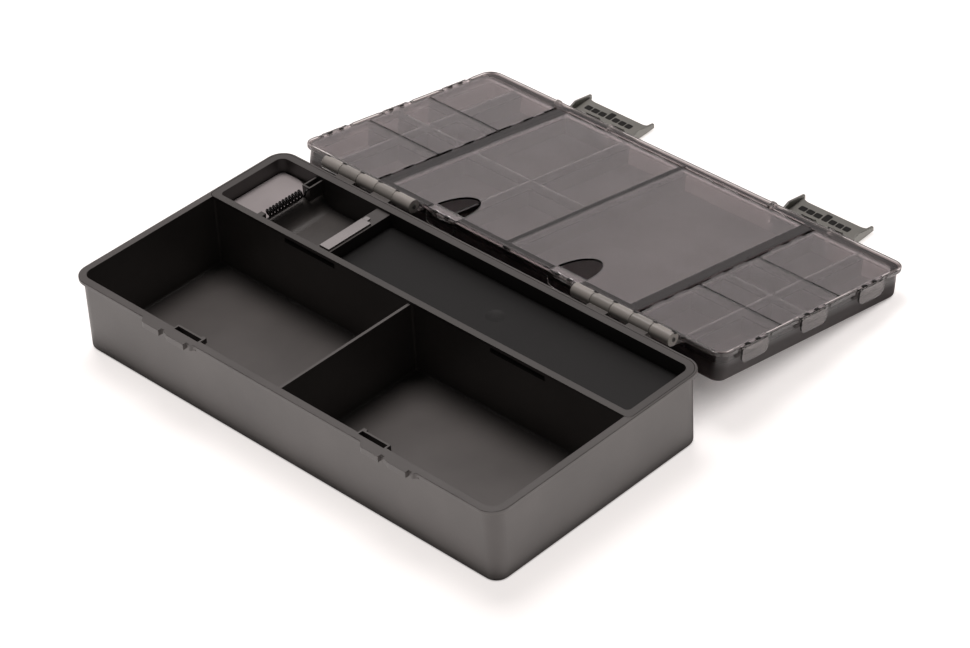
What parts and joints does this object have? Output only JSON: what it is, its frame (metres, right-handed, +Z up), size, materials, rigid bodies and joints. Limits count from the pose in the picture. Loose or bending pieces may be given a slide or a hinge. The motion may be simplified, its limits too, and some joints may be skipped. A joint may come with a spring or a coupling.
{
  "type": "fishing tackle cabinet",
  "caption": "Long flat tackle box: open bin with a lift-out tray, hinged smoked lid divided into small bays under clear clip-down flaps, and pivoting front latches.",
  "frame": {"origin": "centre of the bin's underside, on the surface that it stands on", "axes": "+X along the bin's length, to the right seen from its front; +Y from the latch side to the hinge side; +Z up"},
  "size_m": [0.35, 0.4035, 0.057],
  "materials": {
    "bin_plastic": "fine matt texture",
    "tray_plastic": "fine matt texture",
    "panel_plastic": "smooth satin",
    "strip_metal": "satin",
    "coil_wire": "black satin",
    "pin_steel": "bright",
    "smoked_plastic": "polished, smoked",
    "clear_plastic": "polished, lightly smoked",
    "clip_plastic": "frosted",
    "latch_plastic": "fine matt texture"
  },
  "bodies": {
    "base": {"base_bin": "bin_plastic", "hinge_pin_left": "pin_steel", "hinge_pin_right": "pin_steel"},
    "tray": {"rear_tray": "tray_plastic", "tray_panel": "panel_plastic", "divider_strip": "strip_metal", "line_coil": "coil_wire"},
    "lid": {"lid_tray": "smoked_plastic"},
    "centre_flap_left": {"centre_flap_left": "clear_plastic"},
    "centre_clip_left": {"centre_clip_left": "clip_plastic"},
    "centre_flap_right": {"centre_flap_right": "clear_plastic"},
    "centre_clip_right": {"centre_clip_right": "clip_plastic"},
    "end_flap_left_near": {"end_flap_left_near": "clear_plastic"},
    "end_clip_left_near": {"end_clip_left_near": "clip_plastic"},
    "end_flap_left_middle": {"end_flap_left_middle": "clear_plastic"},
    "end_clip_left_middle": {"end_clip_left_middle": "clip_plastic"},
    "end_flap_left_far": {"end_flap_left_far": "clear_plastic"},
    "end_clip_left_far": {"end_clip_left_far": "clip_plastic"},
    "end_flap_right_near": {"end_flap_right_near": "clear_plastic"},
    "end_clip_right_near": {"end_clip_right_near": "clip_plastic"},
    "end_flap_right_middle": {"end_flap_right_middle": "clear_plastic"},
    "end_clip_right_middle": {"end_clip_right_middle": "clip_plastic"},
    "end_flap_right_far": {"end_flap_right_far": "clear_plastic"},
    "end_clip_right_far": {"end_clip_right_far": "clip_plastic"},
    "latch_left": {"latch_left": "latch_plastic"},
    "latch_right": {"latch_right": "latch_plastic"}
  },
  "joints": [
    {"name": "lid_hinge", "type": "hinge", "parent": "base", "child": "lid", "pos_m": [0, 0.09565, 0.0526], "axis": [1, 0, 0], "range_deg": [0, 190.16]},
    {"name": "tray_lift", "type": "slide", "parent": "base", "child": "tray", "axis": [0, 0, -1], "range_m": [-0.06, 0]},
    {"name": "centre_flap_left_hinge", "type": "hinge", "parent": "lid", "child": "centre_flap_left", "pos_m": [-0.05, 0.26783, 0.01962], "axis": [1, 0, 0], "range_deg": [-100, 0]},
    {"name": "centre_clip_left_film_hinge", "type": "hinge", "parent": "centre_flap_left", "child": "centre_clip_left", "pos_m": [-0.0505, 0.10291, 0.04947], "axis": [1, 0, 0], "range_deg": [-95, 0]},
    {"name": "centre_flap_right_hinge", "type": "hinge", "parent": "lid", "child": "centre_flap_right", "pos_m": [0.05, 0.26783, 0.01962], "axis": [1, 0, 0], "range_deg": [-100, 0]},
    {"name": "centre_clip_right_film_hinge", "type": "hinge", "parent": "centre_flap_right", "child": "centre_clip_right", "pos_m": [0.0505, 0.10291, 0.04947], "axis": [1, 0, 0], "range_deg": [-95, 0]},
    {"name": "end_flap_left_near_hinge", "type": "hinge", "parent": "lid", "child": "end_flap_left_near", "pos_m": [-0.1077, 0.13244, 0.04387], "axis": [0, -0.9843, 0.1763], "range_deg": [-90, 0]},
    {"name": "end_clip_left_near_film_hinge", "type": "hinge", "parent": "end_flap_left_near", "child": "end_clip_left_near", "pos_m": [-0.1742, 0.1325, 0.04417], "axis": [0, -0.9843, 0.1763], "range_deg": [-95, 0]},
    {"name": "end_flap_left_middle_hinge", "type": "hinge", "parent": "lid", "child": "end_flap_left_middle", "pos_m": [-0.1077, 0.18633, 0.03422], "axis": [0, -0.9843, 0.1763], "range_deg": [-90, 0]},
    {"name": "end_clip_left_middle_film_hinge", "type": "hinge", "parent": "end_flap_left_middle", "child": "end_clip_left_middle", "pos_m": [-0.1742, 0.18638, 0.03452], "axis": [0, -0.9843, 0.1763], "range_deg": [-95, 0]},
    {"name": "end_flap_left_far_hinge", "type": "hinge", "parent": "lid", "child": "end_flap_left_far", "pos_m": [-0.1077, 0.24041, 0.02453], "axis": [0, -0.9843, 0.1763], "range_deg": [-90, 0]},
    {"name": "end_clip_left_far_film_hinge", "type": "hinge", "parent": "end_flap_left_far", "child": "end_clip_left_far", "pos_m": [-0.1742, 0.24047, 0.02483], "axis": [0, -0.9843, 0.1763], "range_deg": [-95, 0]},
    {"name": "end_flap_right_near_hinge", "type": "hinge", "parent": "lid", "child": "end_flap_right_near", "pos_m": [0.1077, 0.13244, 0.04387], "axis": [0, 0.9843, -0.1763], "range_deg": [-90, 0]},
    {"name": "end_clip_right_near_film_hinge", "type": "hinge", "parent": "end_flap_right_near", "child": "end_clip_right_near", "pos_m": [0.1742, 0.1325, 0.04417], "axis": [0, 0.9843, -0.1763], "range_deg": [-95, 0]},
    {"name": "end_flap_right_middle_hinge", "type": "hinge", "parent": "lid", "child": "end_flap_right_middle", "pos_m": [0.1077, 0.18633, 0.03422], "axis": [0, 0.9843, -0.1763], "range_deg": [-90, 0]},
    {"name": "end_clip_right_middle_film_hinge", "type": "hinge", "parent": "end_flap_right_middle", "child": "end_clip_right_middle", "pos_m": [0.1742, 0.18638, 0.03452], "axis": [0, 0.9843, -0.1763], "range_deg": [-95, 0]},
    {"name": "end_flap_right_far_hinge", "type": "hinge", "parent": "lid", "child": "end_flap_right_far", "pos_m": [0.1077, 0.24041, 0.02453], "axis": [0, 0.9843, -0.1763], "range_deg": [-90, 0]},
    {"name": "end_clip_right_far_film_hinge", "type": "hinge", "parent": "end_flap_right_far", "child": "end_clip_right_far", "pos_m": [0.1742, 0.24047, 0.02483], "axis": [0, 0.9843, -0.1763], "range_deg": [-95, 0]},
    {"name": "latch_left_pivot", "type": "hinge", "parent": "lid", "child": "latch_left", "pos_m": [-0.091, 0.27502, 0.00756], "axis": [1, 0, 0], "range_deg": [0, 78]},
    {"name": "latch_right_pivot", "type": "hinge", "parent": "lid", "child": "latch_right", "pos_m": [0.091, 0.27502, 0.00756], "axis": [1, 0, 0], "range_deg": [0, 78]}
  ]
}
